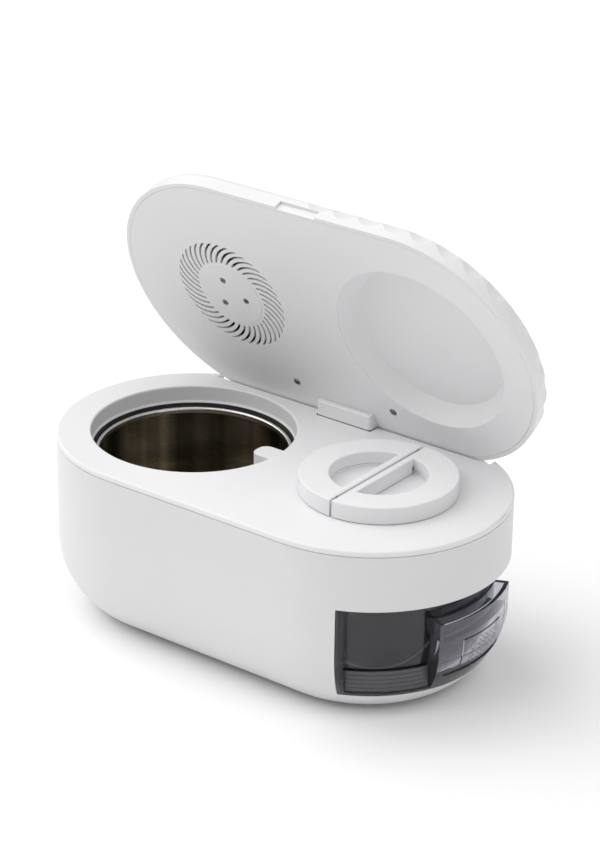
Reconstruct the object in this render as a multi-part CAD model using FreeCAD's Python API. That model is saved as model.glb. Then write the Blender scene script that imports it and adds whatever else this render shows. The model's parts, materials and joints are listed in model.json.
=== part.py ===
"""Automatic pet feeder: a stadium-shaped housing with a dry-food hopper on the left, a serving
drawer with a smoked front on the right, a canister well under a round cap, and a hinged lid that
carries a fan. Origin: centre of the footprint, on the plane of the feet. +X runs to the drawer
end, +Y to the hinge, +Z up. Millimetres. The lid is drawn closed and then turned to its open stop.
"""
import FreeCAD, Part
import os
from math import asin, cos, degrees, pi, radians, sin, sqrt

Vec = FreeCAD.Vector
X_AXIS = Vec(1, 0, 0)
Y_AXIS = Vec(0, 1, 0)
Z_AXIS = Vec(0, 0, 1)

# housing
body_half_width = 105.0
end_offset = 80.0  # from the middle to the centre of each round end
body_height = 137.0  # base edge to deck top
foot_height = 4.0
wall = 3.0
deck_thickness = 4.0
base_curve_radius = 65.0
base_curve_height = 54.0
seam_groove = 0.7

# fits
face_gap = 0.3  # between pieces that move past each other
slide_gap = 0.5
shaft_clearance = 0.05
screw_radius = 1.5
screw_head_radius = 2.8

# hopper
hopper_x = -82.5
hopper_radius = 71.5  # inside
steel = 0.8
hopper_rim_drop = 16.0  # deck top to the top of the rolled rim
rim_roll_radius = 1.75
hopper_floor_height = 61.0
collar_margin = 6.0  # hopper wall to collar wall
collar_wall = 2.5
collar_straight = 12.0
collar_ledge = 1.6
sensor_tab_length = 17.0  # from the collar wall towards the axis
sensor_tab_width = 18.0
sensor_tab_thickness = 9.0
sensor_tab_corner = 7.0

# cap and canister
cap_x = 88.5
cap_radius = 58.0
cap_rise = 13.5
groove_width = 2.0
wing_bar = 5.5
canister_radius = 40.0

# lid
lid_gap = 0.5
lid_rim_height = 17.0
lid_crown = 4.5
lid_wall = 3.4
lid_skin = 2.5
liner_thickness = 2.5
liner_gap = 0.2
lid_open_angle = 68.3
vent_x = -87.0
vent_radius = 54.0
vent_hub_radius = 27.5
vent_slots = 39
recess_radius = 72.0
recess_floor_radius = 62.0
hinge_inset = 13.2  # from the outline's rear to the hinge pin
hinge_rise = 8.1
knuckle_width = 50.0
hinge_pin_radius = 2.0
flute_pitch = 22.0

# drawer
window_angle = 66.5
window_low = 20.0
window_high = 94.0
tub_inset = 12.0
tub_half_width = 84.0
tub_wall = 2.0
drawer_back_x = 12.0
drawer_back_height = 8.0
pull_half_angle = 24.6
pull_top = 77.0

# drive
gear_module = 1.0
pinion_teeth = 12
wheel_teeth = 48
gear_height = 7.0
impeller_blades = 4

collar_radius = hopper_radius + collar_margin
sensor_tab_reach = collar_radius - sensor_tab_length
hinge_y = body_half_width - hinge_inset
base_z = foot_height
deck_z = base_z + body_height
seam_z = deck_z - deck_thickness
curve_top_z = base_z + base_curve_height
curve_centre_r = body_half_width - base_curve_radius
rim_z = deck_z - hopper_rim_drop
lid_z = deck_z + lid_gap
hinge_z = deck_z + hinge_rise
lid_top_z = lid_z + lid_rim_height


def half_width_at(z, inset=0.0):
    """Half-width of the housing's outline at height z, moved in by inset."""
    if z >= curve_top_z:
        return body_half_width - inset
    radius = base_curve_radius - inset
    return curve_centre_r + sqrt(radius**2 - (curve_top_z - z) ** 2)


def profile(*points):
    """Closed face in the XZ plane. A point is (r, z), or (r, z, via_r, via_z) after an arc."""
    edges = []
    ends = [Vec(p[0], 0, p[1]) for p in points]
    for i, point in enumerate(points):
        start = ends[i - 1]
        if len(point) == 4:
            edges.append(Part.Arc(start, Vec(point[2], 0, point[3]), ends[i]).toShape())
        elif (ends[i] - start).Length > 1e-6:
            edges.append(Part.LineSegment(start, ends[i]).toShape())
    return Part.Face(Part.Wire(edges))


def turned(shape, axis, angle, point=Vec(0, 0, 0)):
    copy = shape.copy()
    copy.rotate(point, axis, angle)
    return copy


def moved(shape, x=0.0, y=0.0, z=0.0):
    copy = shape.copy()
    copy.translate(Vec(x, y, z))
    return copy


def fused(*shapes):
    return shapes[0].multiFuse(list(shapes[1:])).removeSplitter()


def cut(shape, *tools):
    return shape.cut(list(tools))


def group(solids):
    return Part.Compound(solids)


def box(x0, x1, y0, y1, z0, z1):
    return Part.makeBox(x1 - x0, y1 - y0, z1 - z0, Vec(x0, y0, z0))


def tube(x, y, z0, z1, outer, inner=0.0):
    solid = Part.makeCylinder(outer, z1 - z0, Vec(x, y, z0))
    if inner:
        solid = solid.cut(Part.makeCylinder(inner, z1 - z0 + 2, Vec(x, y, z0 - 1)))
    return solid


def revolved(face, x=0.0, y=0.0, start=0.0, sweep=360.0):
    """Turn an XZ profile, drawn round the Z axis, about the vertical line at x, y."""
    placed = moved(turned(face, Z_AXIS, start), x, y)
    return placed.revolve(Vec(x, y, 0), Z_AXIS, sweep)


def racetrack(face):
    """Carry an XZ half-profile round the housing's stadium outline."""
    right = revolved(face, end_offset, 0, -90, 180)
    left = revolved(face, -end_offset, 0, 90, 180)
    front = moved(turned(face, Z_AXIS, -90), -end_offset).extrude(X_AXIS * 2 * end_offset)
    back = moved(turned(face, Z_AXIS, 90), -end_offset).extrude(X_AXIS * 2 * end_offset)
    return fused(right, front, left, back)


def stadium(half_width, z0, z1):
    middle = box(-end_offset, end_offset, -half_width, half_width, z0, z1)
    ends = [tube(side * end_offset, 0, z0, z1, half_width) for side in (-1, 1)]
    return fused(middle, *ends)


def housing_solid(inset, low_z, high_z):
    """The housing's rounded form, moved in by inset, between two heights."""
    top_r = body_half_width - inset
    if low_z >= curve_top_z:
        return stadium(top_r, low_z, high_z)
    radius = base_curve_radius - inset
    low_r = half_width_at(low_z, inset)
    angle = asin((curve_top_z - low_z) / radius) / 2
    via_r = curve_centre_r + radius * cos(angle)
    via_z = curve_top_z - radius * sin(angle)
    full_z = max(high_z, curve_top_z + 1)
    solid = racetrack(
        profile((0, full_z), (0, low_z), (low_r, low_z), (top_r, curve_top_z, via_r, via_z), (top_r, full_z))
    )
    if full_z > high_z:
        solid = solid.cut(box(-300, 300, -200, 200, high_z, full_z + 1))
    return solid


def sector(x, outer, half_angle, z0, z1, middle=0.0):
    """A wedge about the vertical line at x, spreading half_angle each side of middle."""
    solid = Part.makeCylinder(outer, z1 - z0, Vec(0, 0, z0), Z_AXIS, 2 * half_angle)
    return moved(turned(solid, Z_AXIS, middle - half_angle), x)


def lid_turned(shape):
    """Turn a piece that is drawn on the closed lid to the lid's open stop."""
    return turned(shape, X_AXIS, -lid_open_angle, Vec(0, hinge_y, hinge_z))


def screw(x, y, z, length, head_up=True, shaft=screw_radius, head=screw_head_radius):
    """A pan-head screw whose head's flat side lies at z."""
    way = 1 if head_up else -1
    body = Part.makeCylinder(shaft, length, Vec(x, y, z), Z_AXIS * -way)
    top = Part.makeCone(head, head * 0.75, head * 0.6, Vec(x, y, z), Z_AXIS * way)
    slot = Part.makeBox(head * 1.1, 0.7, head * 0.4, Vec(x - head * 0.55, y - 0.35, 0))
    slot = moved(slot, 0, 0, z + way * head * 0.6 - head * 0.2)
    return fused(body, top).cut(slot)


def gear(teeth, height, bore, turn=0.0):
    """Spur gear with straight-flanked teeth on the pitch circle of gear_module."""
    pitch_radius = gear_module * teeth / 2
    root = pitch_radius - 1.25 * gear_module
    tip = pitch_radius + 0.9 * gear_module
    solid = Part.makeCylinder(root, height)
    half_pitch = pi * gear_module / 4
    low, middle, high = half_pitch * 1.35, half_pitch * 0.92, half_pitch * 0.5
    corners = [
        Vec(root - 0.5, -low, 0), Vec(pitch_radius, -middle, 0), Vec(tip, -high, 0),
        Vec(tip, high, 0), Vec(pitch_radius, middle, 0), Vec(root - 0.5, low, 0),
    ]
    tooth = Part.Face(Part.makePolygon(corners + corners[:1])).extrude(Z_AXIS * height)
    ring = [turned(tooth, Z_AXIS, turn + 360.0 * i / teeth) for i in range(teeth)]
    return fused(solid, *ring).cut(Part.makeCylinder(bore, height + 2, Vec(0, 0, -1)))


# ---- housing ----

trough_radius = 16.1
trough_half_length = 128.0
trough_wall = 2.5
trough_gap = 1.3  # in front of the open lid
trough_pad_y = hinge_y - 9.8
trough_pad_z = deck_z - 10.0

plate_rebate = 2.5
lip_thickness = 3.0
plate_edge = half_width_at(base_z) - 4.0
lip_opening = plate_edge - 12.0
base_screw_reach = (plate_edge + lip_opening) / 2
base_screw_places = [(side * (end_offset + base_screw_reach), 0) for side in (-1, 1)]
base_screw_places += [(x, side * base_screw_reach) for x in (-50, 50) for side in (-1, 1)]
base_boss_radius = 4.0
base_boss_height = 8.0
jack_x = -60.0
jack_z = 34.0
jack_radius = 6.0
jack_boss_y = body_half_width - 13.0
board_y = body_half_width - 13.0
board_thickness = 1.6
board_x = (-20.0, 50.0)
board_z = (62.0, 112.0)
board_post_places = [
    (x, z) for x in (board_x[0] + 5, board_x[1] - 5) for z in (board_z[0] + 5, board_z[1] - 5)
]


def window_cutter(margin):
    """The drawer's opening through the right end of the housing."""
    angle = window_angle - degrees(margin / body_half_width)
    solid = sector(end_offset, body_half_width + 20, angle, window_low + margin, window_high - margin)
    core = Part.makeCylinder(half_width_at(window_low, wall) - 14, 200, Vec(end_offset, 0, -20))
    return solid.cut(core)


def make_base_shell():
    outer = housing_solid(0, base_z, seam_z)
    inner = housing_solid(wall, base_z + plate_rebate + lip_thickness, seam_z + 1)
    shell = cut(
        outer,
        inner,
        stadium(plate_edge, base_z - 1, base_z + plate_rebate),
        stadium(lip_opening, base_z - 1, base_z + 20),
        window_cutter(0),
    )
    rim = stadium(body_half_width + 1, seam_z - seam_groove, seam_z + 1)
    shell = shell.cut(rim.cut(stadium(body_half_width - seam_groove, seam_z - 2, seam_z + 2)))
    lip_top = base_z + plate_rebate + lip_thickness
    for x, y in base_screw_places:
        boss_top = lip_top + base_boss_height
        shell = fused(shell, tube(x, y, base_z + plate_rebate, boss_top, base_boss_radius))
    for x, y in base_screw_places:
        shell = shell.cut(tube(x, y, base_z + plate_rebate - 1, boss_top - 2, screw_radius))
    shell = shell.cut(trough_block(0))
    jack_boss = Part.makeCylinder(jack_radius + 4, 30, Vec(jack_x, jack_boss_y, jack_z), Y_AXIS)
    jack_boss = jack_boss.common(outer)
    posts = [
        Part.makeCylinder(3, 20, Vec(x, board_y + board_thickness, z), Y_AXIS).common(outer)
        for x, z in board_post_places
    ]
    shell = fused(shell, jack_boss, *posts)
    jack_hole = Part.makeCylinder(jack_radius, 60, Vec(jack_x, 60, jack_z), Y_AXIS)
    return shell.cut(jack_hole)


def make_base_plate():
    plate = stadium(plate_edge - face_gap, base_z, base_z + plate_rebate)
    for x, y in base_screw_places:
        plate = cut(plate, tube(x, y, base_z - 1, base_z + plate_rebate + 1, screw_radius + 0.2))
        plate = cut(plate, tube(x, y, base_z - 1, base_z + 1.2, screw_head_radius + 0.3))
    for i in range(-4, 5):
        plate = plate.cut(box(i * 9 - 1.5, i * 9 + 1.5, -14, 14, base_z - 1, base_z + plate_rebate + 1))
    return plate


def make_base_screws():
    return group([
        screw(x, y, base_z + 1.2, plate_rebate + 7, head_up=False)
        for x, y in base_screw_places
    ])


foot_places = [(sx * 96, sy * 44) for sx in (-1, 1) for sy in (-1, 1)]
foot_radius = 9.0


def make_rubber_feet():
    foot = profile(
        (0, base_z), (0, 0), (foot_radius - 2, 0), (foot_radius, 2, foot_radius - 0.6, 0.6),
        (foot_radius, base_z),
    )
    return group([revolved(foot, x, y) for x, y in foot_places])


# ---- hopper ----

tub_outer = hopper_radius + steel
rim_centre_r = hopper_radius + rim_roll_radius
rim_outer = hopper_radius + 2 * rim_roll_radius
rim_centre_z = rim_z - rim_roll_radius
seal_height = 2.6
seal_z = rim_z - 2 * rim_roll_radius - 0.1 - seal_height
collar_low_r = rim_outer + 1.5
collar_low_z = seal_z + 2.0
cradle_radius = collar_radius + 12.5
cradle_screw_ring = collar_radius + 8.0
cradle_screw_places = [
    (hopper_x + cradle_screw_ring * cos(radians(a)), cradle_screw_ring * sin(radians(a)))
    for a in (55, 125, 235, 305)
]
corner_radius = 8.0
outlet_far = hopper_radius - 7.5  # from the hopper axis
outlet_near = outlet_far - 20.0
outlet_half_width = 20.0
sensor_length = 11.0
shaft_radius = 4.0


def hopper_outlet(low_z, high_z):
    x0 = hopper_x + outlet_near
    x1 = hopper_x + outlet_far
    hole = box(x0, x1, -outlet_half_width, outlet_half_width, low_z, high_z)
    upright = [e for e in hole.Edges if e.BoundBox.ZLength > high_z - low_z - 0.01]
    return hole.makeFillet(4, upright)


def make_hopper_tub():
    floor = hopper_floor_height
    under = floor - steel
    bend = corner_radius * (1 - sqrt(0.5))
    inner_corner = corner_radius - steel
    inner_bend = inner_corner * (1 - sqrt(0.5))
    roll_half = rim_roll_radius * sqrt(0.5)
    face = profile(
        (shaft_radius + 2, under),
        (tub_outer - corner_radius, under),
        (tub_outer, under + corner_radius, tub_outer - bend, under + bend),
        (tub_outer, rim_centre_z - rim_roll_radius),
        (rim_centre_r, rim_centre_z - rim_roll_radius),
        (rim_outer, rim_centre_z, rim_centre_r + roll_half, rim_centre_z - roll_half),
        (hopper_radius, rim_centre_z, rim_centre_r, rim_z),
        (hopper_radius, floor + inner_corner),
        (hopper_radius - inner_corner, floor, hopper_radius - inner_bend, floor + inner_bend),
        (shaft_radius + 2, floor),
    )
    return revolved(face, hopper_x).cut(hopper_outlet(under - 5, floor + 5))


def make_hopper_seal():
    return tube(hopper_x, 0, seal_z, seal_z + seal_height, rim_outer, tub_outer + 0.4)


def make_tub_cradle():
    low = tube(hopper_x, 0, seal_z - 3, collar_low_z, cradle_radius, tub_outer + 0.4)
    seat = Part.makeCylinder(rim_outer, 10, Vec(hopper_x, 0, seal_z))
    room = housing_solid(wall + 0.5, seal_z - 10, seam_z)
    holes = [
        tube(x, y, 0, 200, screw_radius) for x, y in cradle_screw_places
    ]
    return cut(low, seat, *holes).common(room)


def make_cradle_screws():
    return group([
        screw(x, y, seal_z - 3, 15, head_up=False) for x, y in cradle_screw_places
    ])


def sensor_tab():
    x0 = hopper_x + sensor_tab_reach
    x1 = hopper_x + collar_radius + 1
    tab = box(
        x0, x1, -sensor_tab_width / 2, sensor_tab_width / 2, deck_z - sensor_tab_thickness, deck_z,
    )
    tips = [
        e for e in tab.Edges
        if e.BoundBox.ZLength > sensor_tab_thickness - 0.01 and e.BoundBox.XMax < x0 + 0.01
    ]
    return tab.makeFillet(sensor_tab_corner, tips)


# ---- deck ----

slot_radius = 18.3
slot_half_width = knuckle_width / 2 + 0.6
knuckle_front_y = hinge_y - 14.8
knuckle_height = 12.0
knuckle_top_z = deck_z + knuckle_height
open_tilt = radians(lid_open_angle)
axis_drop = hinge_z - lid_z
knuckle_reach = (knuckle_top_z - hinge_z + axis_drop * cos(open_tilt)) / sin(open_tilt)
knuckle_root_y = hinge_y - axis_drop * sin(open_tilt) - knuckle_reach * cos(open_tilt)
well_radius = canister_radius + 4.0
well_wall = 2.0
well_floor_z = window_high + 3.0


def open_underside(distance, length):
    """A block in front of the open lid's underside, that far from it."""
    block = box(-length, length, -200, 200, lid_z - 60, lid_z - distance)
    return lid_turned(block)


def trough_block(margin):
    """The deck's thicker rear part under the hinge trough, which drops into the base shell."""
    half = trough_half_length + trough_wall + margin
    return box(-half, half, trough_pad_y - margin, 120, trough_pad_z, seam_z)


def make_deck_panel():
    plate = stadium(body_half_width, seam_z, deck_z)
    top_edges = [
        e for e in plate.Edges
        if e.BoundBox.ZMin > deck_z - 0.01 and max(e.BoundBox.YMax, -e.BoundBox.YMin) > body_half_width - 1
    ]
    plate = plate.makeFillet(1.5, top_edges)
    skirt = stadium(body_half_width - wall - face_gap, seam_z - 7, seam_z)
    skirt = skirt.cut(stadium(body_half_width - wall - face_gap - 2, seam_z - 8, seam_z + 1))
    collar = tube(hopper_x, 0, collar_low_z, deck_z, collar_radius + collar_wall)
    bosses = [tube(x, y, collar_low_z, seam_z, 4) for x, y in cradle_screw_places]
    inside = housing_solid(wall + face_gap, seam_z - 30, seam_z)
    trough_pad = trough_block(0).common(housing_solid(0, trough_pad_z, seam_z))
    slot_pad = box(-slot_half_width - 3, slot_half_width + 3, hinge_y - 19.8, hinge_y + 8.2, deck_z - 13.5, seam_z)
    slot_pad = slot_pad.common(inside)
    deck = fused(plate, skirt, collar, trough_pad, slot_pad, *bosses)
    mouth = profile(
        (0, seal_z - 5), (collar_low_r, seal_z - 5),
        (collar_low_r, deck_z - collar_straight - collar_ledge), (collar_radius, deck_z - collar_straight),
        (collar_radius, deck_z - 1.5), (collar_radius + 1.5, deck_z, collar_radius + 0.44, deck_z - 0.44),
        (collar_radius + 1.5, deck_z + 1), (0, deck_z + 1),
    )
    deck = deck.cut(revolved(mouth, hopper_x))
    deck = fused(deck, sensor_tab())
    holes = [tube(x, y, 0, seam_z - 2, screw_radius) for x, y in cradle_screw_places]
    trough = Part.makeCylinder(
        trough_radius, 2 * trough_half_length, Vec(-trough_half_length, hinge_y, hinge_z), X_AXIS
    )
    trough = trough.cut(open_underside(trough_gap, 200))
    slot = Part.makeCylinder(slot_radius, 2 * slot_half_width, Vec(-slot_half_width, hinge_y, hinge_z), X_AXIS)
    slot = slot.common(box(-50, 50, knuckle_front_y - 0.5, hinge_y + 5.7, 0, 200))
    return cut(deck, trough, slot, tube(cap_x, 0, 0, 200, well_radius), *holes)


def make_canister_well():
    outer = tube(cap_x, 0, well_floor_z - well_wall, seam_z, well_radius + well_wall)
    flange = tube(cap_x, 0, seam_z - 2, seam_z, well_radius + 8)
    inner = tube(cap_x, 0, well_floor_z, 200, well_radius)
    room = housing_solid(wall + 3, well_floor_z - 10, seam_z)
    return fused(outer, flange).cut(inner).common(room)


# ---- cap ----

cap_z = deck_z + face_gap
cap_top_z = deck_z + cap_rise
cap_base_thickness = 3.5
cap_floor_z = cap_z + 1.2
wing_z = cap_z + cap_base_thickness + face_gap
wing_skirt = 2.6
wing_skirt_low_z = deck_z + 0.7
plug_radius = well_radius - 2.0
groove_x = cap_x - 0.5
wing_well_radius = 36.0
wing_pivot_z = cap_top_z - 3.0
wing_pivot_x = groove_width / 2 + wing_bar / 2
wing_cut_z = cap_top_z - 6.4  # how low the wing reaches between its pivot and the groove
bar_low_z = cap_floor_z + 0.6
bar_low_half = 33.5
wing_pin_radius = 1.0
wing_round = 1.0
lug_radius = 2.0
lug_y = (cap_radius - 10.0, cap_radius - 6.5)
pin_y = (lug_y[0] - 5.0, lug_y[1] + 2.5)


def wing_half(side, outer, inner, z0, z1, edge):
    """Half of a disc about the cap's axis on one side of the groove."""
    disc = tube(cap_x, 0, z0, z1, outer, inner)
    x0 = groove_x + side * edge
    x1 = groove_x + side * 200
    return disc.common(box(min(x0, x1), max(x0, x1), -200, 200, 0, 300))


def groove_strip(side, far, y0, y1, z0, z1):
    """A box that reaches from the groove's middle to the distance far on one side."""
    end = groove_x + side * far
    return box(min(groove_x, end), max(groove_x, end), min(y0, y1), max(y0, y1), z0, z1)


def make_wing(side):
    edge = groove_width / 2
    rim = wing_half(side, cap_radius, wing_well_radius, wing_z, cap_top_z, edge)
    skirt = wing_half(side, cap_radius, cap_radius - wing_skirt, wing_skirt_low_z, wing_z + 1, edge)
    bar = wing_half(side, cap_radius - 2, 0, wing_cut_z, cap_top_z, edge)
    bar = bar.common(groove_strip(side, edge + wing_bar, -80, 80, 0, 300))
    bar_low = wing_half(side, wing_well_radius - 0.5, 0, bar_low_z, wing_cut_z, edge)
    bar_low = bar_low.common(groove_strip(side, edge + wing_bar, -bar_low_half, bar_low_half, 0, 300))
    room = groove_strip(side, wing_pivot_x + lug_radius + 0.8, -80, 80, wing_z - 1, wing_cut_z)
    room = room.common(tube(cap_x, 0, 0, 300, cap_radius - wing_skirt))
    wing = fused(rim, bar).cut(room)
    wing = fused(wing, skirt, bar_low)
    top_edges = [e for e in wing.Edges if e.BoundBox.ZMin > cap_top_z - 0.01]
    wing = wing.makeFillet(wing_round, top_edges)
    pivot_x = groove_x + side * wing_pivot_x
    ear_top_z = wing_pivot_z + lug_radius + 0.2
    for end in (-1, 1):
        y0 = end * (lug_y[0] - face_gap)
        y1 = end * (lug_y[1] + face_gap)
        wing = wing.cut(groove_strip(side, wing_pivot_x + lug_radius + 0.2, y0, y1, wing_z - 1, ear_top_z))
        p0, p1 = sorted((end * (pin_y[0] - face_gap), end * (pin_y[1] + face_gap)))
        bore_radius = wing_pin_radius + shaft_clearance
        wing = wing.cut(Part.makeCylinder(bore_radius, p1 - p0, Vec(pivot_x, p0, wing_pivot_z), Y_AXIS))
    return wing


def make_cap_base():
    disc = tube(cap_x, 0, cap_z, cap_z + cap_base_thickness, cap_radius - wing_skirt - face_gap)
    well = tube(cap_x, 0, cap_floor_z, 200, wing_well_radius)
    plug = tube(cap_x, 0, deck_z - 14, cap_z + 1, plug_radius, plug_radius - 2)
    ring = tube(cap_x, 0, deck_z - 7, deck_z - 4.4, plug_radius + 1, plug_radius - 0.9)
    base = fused(disc.cut(well), plug).cut(ring)
    for side in (-1, 1):
        pivot_x = groove_x + side * wing_pivot_x
        for end in (-1, 1):
            y0, y1 = sorted((end * lug_y[0], end * lug_y[1]))
            foot = box(pivot_x - lug_radius, pivot_x + lug_radius, y0, y1, cap_z + 1, wing_pivot_z)
            head = Part.makeCylinder(lug_radius, y1 - y0, Vec(pivot_x, y0, wing_pivot_z), Y_AXIS)
            pin = Part.makeCylinder(wing_pin_radius, 200, Vec(pivot_x, -100, wing_pivot_z), Y_AXIS)
            base = fused(base, foot, head).cut(pin)
    return base


def make_wing_pins():
    pins = []
    for side in (-1, 1):
        for end in (-1, 1):
            y0, y1 = sorted((end * pin_y[0], end * pin_y[1]))
            pivot = Vec(groove_x + side * wing_pivot_x, y0, wing_pivot_z)
            pins.append(Part.makeCylinder(wing_pin_radius, y1 - y0, pivot, Y_AXIS))
    return group(pins)


def make_cap_seal():
    return tube(cap_x, 0, deck_z - 7, deck_z - 4.4, well_radius - face_gap, plug_radius - 0.9)


def make_desiccant_canister():
    top = deck_z - 14
    low = well_floor_z + 2
    can = tube(cap_x, 0, low, top, canister_radius)
    can = can.cut(tube(cap_x, 0, low + 1.5, top - 1.5, canister_radius - 1.5))
    vents = []
    for ring_radius, count in ((12, 6), (22, 12), (32, 18)):
        for i in range(count):
            a = 2 * pi * i / count
            vents.append(tube(cap_x + ring_radius * cos(a), ring_radius * sin(a), low - 1, low + 3, 2.2))
    return cut(can, *vents)


def make_desiccant_pack():
    return tube(cap_x, 0, well_floor_z + 4.0, deck_z - 15.8, canister_radius - 2)


# ---- lid ----

skin_edge = 98.5
crown_z = lid_top_z + lid_crown
shoulder_z = lid_top_z - 6.0
rim_top_z = lid_z + lid_rim_height - 0.5
liner_half_width = body_half_width - lid_wall - liner_gap
recess_depth = lid_rim_height - 2.4
recess_skin = 1.6
knuckle_slot_front = hinge_y - knuckle_reach - face_gap
lid_screw_places = [(side * 45.0, hinge_y - 16.8) for side in (-1, 1)]
flute_radius = 26.0
flute_depth = 0.9
flute_tilt = 20.0  # the rod's top leans in over the lid
flute_drop = 8.0  # lid rim top to the level where the depth is taken
flute_start_x = 14.0
fan_low_z = lid_z + liner_thickness + 1.5
fan_height = 7.0


def flute_places():
    """Points of the rim outline, with the outward direction, at even steps from the flutes' start."""
    straight = end_offset - flute_start_x
    total = 2 * straight + pi * body_half_width
    count = round(total / flute_pitch)
    places = []
    for i in range(count + 1):
        s = total * i / count
        if s < straight:
            places.append((flute_start_x + s, -body_half_width, -90.0))
        elif s < straight + pi * body_half_width:
            a = -90.0 + degrees((s - straight) / body_half_width)
            x = end_offset + body_half_width * cos(radians(a))
            places.append((x, body_half_width * sin(radians(a)), a))
        else:
            places.append((end_offset - (s - straight - pi * body_half_width), body_half_width, 90.0))
    return places


def flute_cutter(x, y, angle):
    """A leaning rod that hollows the rim's top edge at one place and runs out towards the liner."""
    rod = Part.makeCylinder(flute_radius, 80, Vec(flute_radius - flute_depth, 0, -40))
    rod = moved(turned(rod, Y_AXIS, -flute_tilt), 0, 0, rim_top_z - flute_drop)
    return moved(turned(rod, Z_AXIS, angle), x, y)


def make_lid_shell():
    outer = racetrack(profile(
        (0, lid_z), (body_half_width, lid_z), (body_half_width, shoulder_z),
        (skin_edge, rim_top_z, body_half_width - 1.6, rim_top_z - 2.2),
        (0, crown_z, skin_edge / 2, crown_z - 1.2),
    ))
    inner_edge = body_half_width - lid_wall - 1.6
    inner = racetrack(profile(
        (0, lid_z + liner_thickness), (inner_edge, lid_z + liner_thickness), (inner_edge, shoulder_z),
        (skin_edge - 2, rim_top_z - lid_skin, inner_edge - 1.2, rim_top_z - lid_skin - 1.6),
        (0, crown_z - lid_skin, skin_edge / 2, crown_z - 1.2 - lid_skin),
    ))
    seat = stadium(body_half_width - lid_wall, lid_z - 1, lid_z + liner_thickness)
    shell = cut(outer, inner, seat)
    posts = []
    for x, y in lid_screw_places:
        posts.append(tube(x, y, lid_z + liner_thickness, rim_top_z - 0.5, 4.5, screw_radius))
    shell = fused(shell, *posts)
    cutters = [flute_cutter(*place) for place in flute_places()]
    shell = cut(shell, *cutters)
    notch = box(-17.5, 17.5, -body_half_width - 1, -body_half_width + 2.2, lid_z - 1, lid_z + 7)
    gap = box(-13, 13, hinge_y - 12, body_half_width + 5, lid_z - 1, lid_top_z - 3.5)
    return lid_turned(cut(shell, notch, gap))


def make_lid_liner():
    plate = stadium(liner_half_width, lid_z, lid_z + liner_thickness)
    vent_hole = tube(vent_x, 0, lid_z - 1, lid_z + 20, vent_radius)
    dish = revolved(profile(
        (0, lid_z - 1), (recess_radius, lid_z - 1), (recess_radius, lid_z + 1.0),
        (recess_floor_radius, lid_z + recess_depth), (0, lid_z + recess_depth),
    ), cap_x - 3)
    cup = revolved(profile(
        (0, lid_z), (recess_radius + 1.8, lid_z), (recess_radius + 1.8, lid_z + 1.4),
        (recess_floor_radius + 1.8, lid_z + recess_depth + recess_skin),
        (0, lid_z + recess_depth + recess_skin),
    ), cap_x - 3)
    slot = box(
        -knuckle_width / 2, knuckle_width / 2, knuckle_slot_front, body_half_width + 5,
        lid_z - 1, lid_z + 5,
    )
    liner = fused(plate, cup)
    liner = cut(liner, dish, vent_hole, slot)
    for x, y in lid_screw_places:
        liner = liner.cut(tube(x, y, lid_z - 1, lid_z + 5, screw_radius + 0.3))
        liner = liner.cut(tube(x, y, lid_z - 1, lid_z + 1.2, screw_head_radius + 0.3))
    return lid_turned(liner)


def vent_slot(angle):
    """One slot of the grille: a narrow arc that leans as it goes out."""
    inner_r, outer_r, lean, half = 30.5, 48.5, 22.0, 1.25
    rows = []
    for side in (-1, 1):
        row = []
        for r, turn in ((inner_r, 0.0), ((inner_r + outer_r) / 2, 0.38 * lean), (outer_r, lean)):
            spread = degrees(half * (0.8 + 0.4 * (r - inner_r) / (outer_r - inner_r)) / r)
            a = radians(angle + turn + side * spread)
            row.append(Vec(r * cos(a), r * sin(a), 0))
        rows.append(row)
    left, right = rows
    edges = [
        Part.Arc(*left).toShape(),
        Part.LineSegment(left[2], right[2]).toShape(),
        Part.Arc(right[2], right[1], right[0]).toShape(),
        Part.LineSegment(right[0], left[0]).toShape(),
    ]
    slot = Part.Face(Part.Wire(edges)).extrude(Z_AXIS * 20)
    return moved(slot, vent_x, 0, lid_z - 5)


grille_screw_places = [
    (vent_x + 13.5 * cos(radians(a)), 13.5 * sin(radians(a))) for a in (-110, 10, 130)
]


def make_vent_grille():
    disc = tube(vent_x, 0, lid_z, lid_z + liner_thickness, vent_radius)
    hub = tube(vent_x, 0, lid_z - 0.4, lid_z + 1, vent_hub_radius)
    grille = fused(disc, hub)
    grille = cut(grille, *[vent_slot(360.0 * i / vent_slots) for i in range(vent_slots)])
    for x, y in grille_screw_places:
        grille = grille.cut(tube(x, y, lid_z - 1, lid_z + 5, screw_radius))
        grille = grille.cut(tube(x, y, lid_z - 1, lid_z + 0.8, screw_head_radius))
    return lid_turned(grille)


def make_grille_screws():
    return lid_turned(group([
        screw(x, y, lid_z + 0.8, liner_thickness + 0.4, head_up=False, head=2.2)
        for x, y in grille_screw_places
    ]))


def make_lid_screws():
    return lid_turned(group([
        screw(x, y, lid_z + 1.2, 9, head_up=False) for x, y in lid_screw_places
    ]))


def make_fan_frame():
    """Three spokes and a hub plate that hold the fan's motor behind the grille."""
    hub = tube(vent_x, 0, lid_z + liner_thickness, lid_z + liner_thickness + 1.2, 18)
    ring = tube(vent_x, 0, lid_z + liner_thickness, fan_low_z + fan_height + 1.5, 52, 49.5)
    frame = fused(hub, ring)
    for a in (-50, 70, 190):
        spoke = box(0, 50, -1.5, 1.5, lid_z + liner_thickness, lid_z + liner_thickness + 1.2)
        frame = fused(frame, moved(turned(spoke, Z_AXIS, a), vent_x))
    for x, y in grille_screw_places:
        frame = frame.cut(tube(x, y, lid_z, lid_z + 20, screw_radius))
    return lid_turned(frame)


def make_fan_motor():
    low = lid_z + liner_thickness + 1.2
    return lid_turned(fused(tube(vent_x, 0, low, low + 3.5, 9), tube(vent_x, 0, low, low + 9, 1.5)))


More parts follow.
